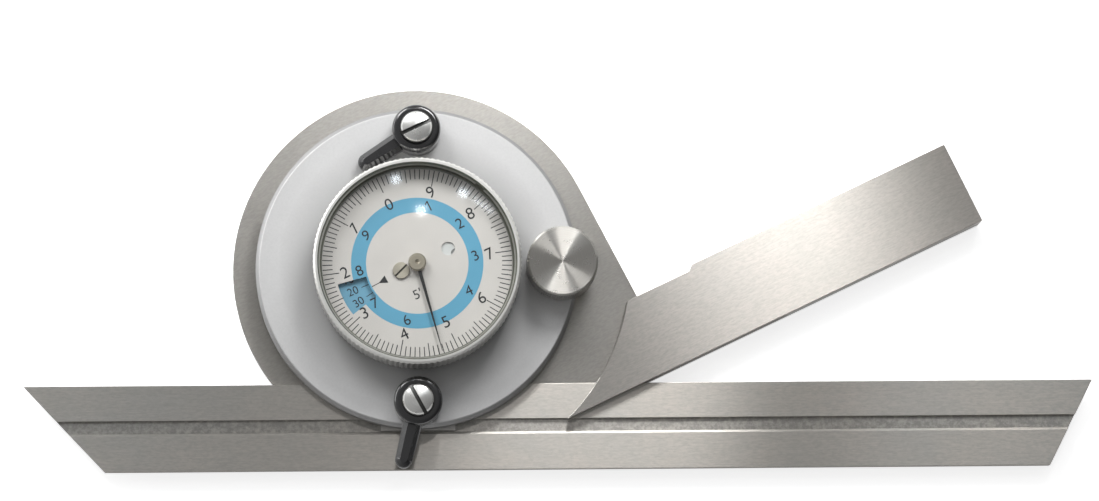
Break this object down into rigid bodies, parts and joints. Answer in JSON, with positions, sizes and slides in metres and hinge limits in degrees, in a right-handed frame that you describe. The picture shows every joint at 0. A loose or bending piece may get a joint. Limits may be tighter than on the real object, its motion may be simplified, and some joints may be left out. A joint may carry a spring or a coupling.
{
  "type": "dial bevel protractor",
  "caption": "Dial bevel protractor: a turret with a geared dial turns on a stock and carries a sliding grooved blade, with lock levers and a fine adjusting knob.",
  "frame": {"origin": "on the turret's axis, at the back face of the stock", "axes": "+Z out of the dial, +X along the blade towards its steeper end, +Y from the blade towards the dial"},
  "size_m": [0.3, 0.1085, 0.0246],
  "materials": {
    "stock_steel": "surface ground, warm grey",
    "blade_steel": "ground and brushed lengthwise",
    "hub_steel": "turned",
    "turret_alloy": "fine satin, anodised",
    "case_alloy": "turned",
    "bezel_chrome": "satin chrome with a knurled edge",
    "knob_steel": "spun end face, knurled side",
    "lever_black": "gloss black enamel",
    "screw_steel": "bright turned",
    "small_steel": "bright small screws",
    "spring_steel": "drawn wire",
    "gear_brass": "machined",
    "bush_bronze": "turned",
    "dial_cream": "matt cream with printed scales",
    "tens_blue": "matt light blue print",
    "pointer_black": "black needle with a plated boss",
    "crystal_clear": "clear domed acrylic"
  },
  "bodies": {
    "stock": {"stock": "stock_steel", "hub": "hub_steel", "hub_screws": "small_steel", "adjust_ring": "gear_brass", "base_plate": "gear_brass", "base_plate_screws": "small_steel", "base_bushes": "bush_bronze", "movement_pillars": "gear_brass", "bridge": "gear_brass", "bridge_screws": "small_steel", "bridge_bushes": "bush_bronze", "dial_face": "dial_cream", "face_screw": "screw_steel"},
    "turret": {"turret_disc": "turret_alloy", "dial_case": "case_alloy", "case_screws": "small_steel", "bezel_spring": "spring_steel", "drive_ring_gear": "gear_brass", "ring_gear_screws": "small_steel", "tens_disc": "tens_blue", "tens_snap_ring": "spring_steel", "adjust_bush": "bush_bronze", "lever_bushes": "bush_bronze"},
    "blade": {"blade": "blade_steel"},
    "adjuster": {"adjust_knob": "knob_steel", "adjust_pinion": "hub_steel", "adjust_washer": "spring_steel"},
    "idler": {"idler_arbor": "hub_steel", "idler_wheel": "gear_brass"},
    "pointer": {"centre_arbor": "hub_steel", "pointer": "pointer_black"},
    "bezel": {"bezel": "bezel_chrome", "crystal": "crystal_clear", "crystal_ring": "spring_steel"},
    "lock": {"lock_lever": "lever_black", "lock_stud": "hub_steel", "lock_screw": "screw_steel"},
    "lock_shoe": {"lock_shoe": "hub_steel"},
    "clamp": {"clamp_lever": "lever_black", "clamp_stud": "hub_steel", "clamp_screw": "screw_steel"},
    "clamp_jaw": {"clamp_jaw": "hub_steel"}
  },
  "joints": [
    {"name": "turret_turn", "type": "hinge", "parent": "stock", "child": "turret", "pos_m": [0, 0, 0], "axis": [0, 0, 1], "range_deg": [-174, 10.2]},
    {"name": "blade_slide", "type": "slide", "parent": "turret", "child": "blade", "axis": [1, 0, 0], "range_m": [-0.14, 0.05]},
    {"name": "adjust_turn", "type": "hinge", "parent": "turret", "child": "adjuster", "pos_m": [0.0404, 0, 0.015], "axis": [0, 0, 1], "continuous": true},
    {"name": "idler_turn", "type": "hinge", "parent": "stock", "child": "idler", "pos_m": [-0.00522, 0.01108, 0], "axis": [0, 0, 1], "continuous": true},
    {"name": "pointer_turn", "type": "hinge", "parent": "stock", "child": "pointer", "pos_m": [0, 0, 0], "axis": [0, 0, 1], "continuous": true},
    {"name": "bezel_turn", "type": "hinge", "parent": "turret", "child": "bezel", "pos_m": [0, 0, 0.015], "axis": [0, 0, 1], "continuous": true},
    {"name": "lock_turn", "type": "hinge", "parent": "turret", "child": "lock", "pos_m": [0, 0.0383, 0.01], "axis": [0, 0, 1], "range_deg": [-60, 0]},
    {"name": "lock_shoe_slide", "type": "slide", "parent": "turret", "child": "lock_shoe", "axis": [0, 1, 0], "range_m": [0, 0.0003]},
    {"name": "clamp_turn", "type": "hinge", "parent": "turret", "child": "clamp", "pos_m": [0, -0.0383, 0.01], "axis": [0, 0, 1], "range_deg": [-60, 0]},
    {"name": "clamp_jaw_slide", "type": "slide", "parent": "turret", "child": "clamp_jaw", "axis": [0, 1, 0], "range_m": [-0.0003, 0]}
  ],
  "couplings": [
    {"joint": "adjust_turn", "follows": "turret_turn", "ratio": -15.429},
    {"joint": "idler_turn", "follows": "turret_turn", "ratio": 6},
    {"joint": "pointer_turn", "follows": "turret_turn", "ratio": -36},
    {"joint": "lock_shoe_slide", "follows": "lock_turn", "m_per_rad": -0.000286},
    {"joint": "clamp_jaw_slide", "follows": "clamp_turn", "m_per_rad": 0.000286}
  ]
}
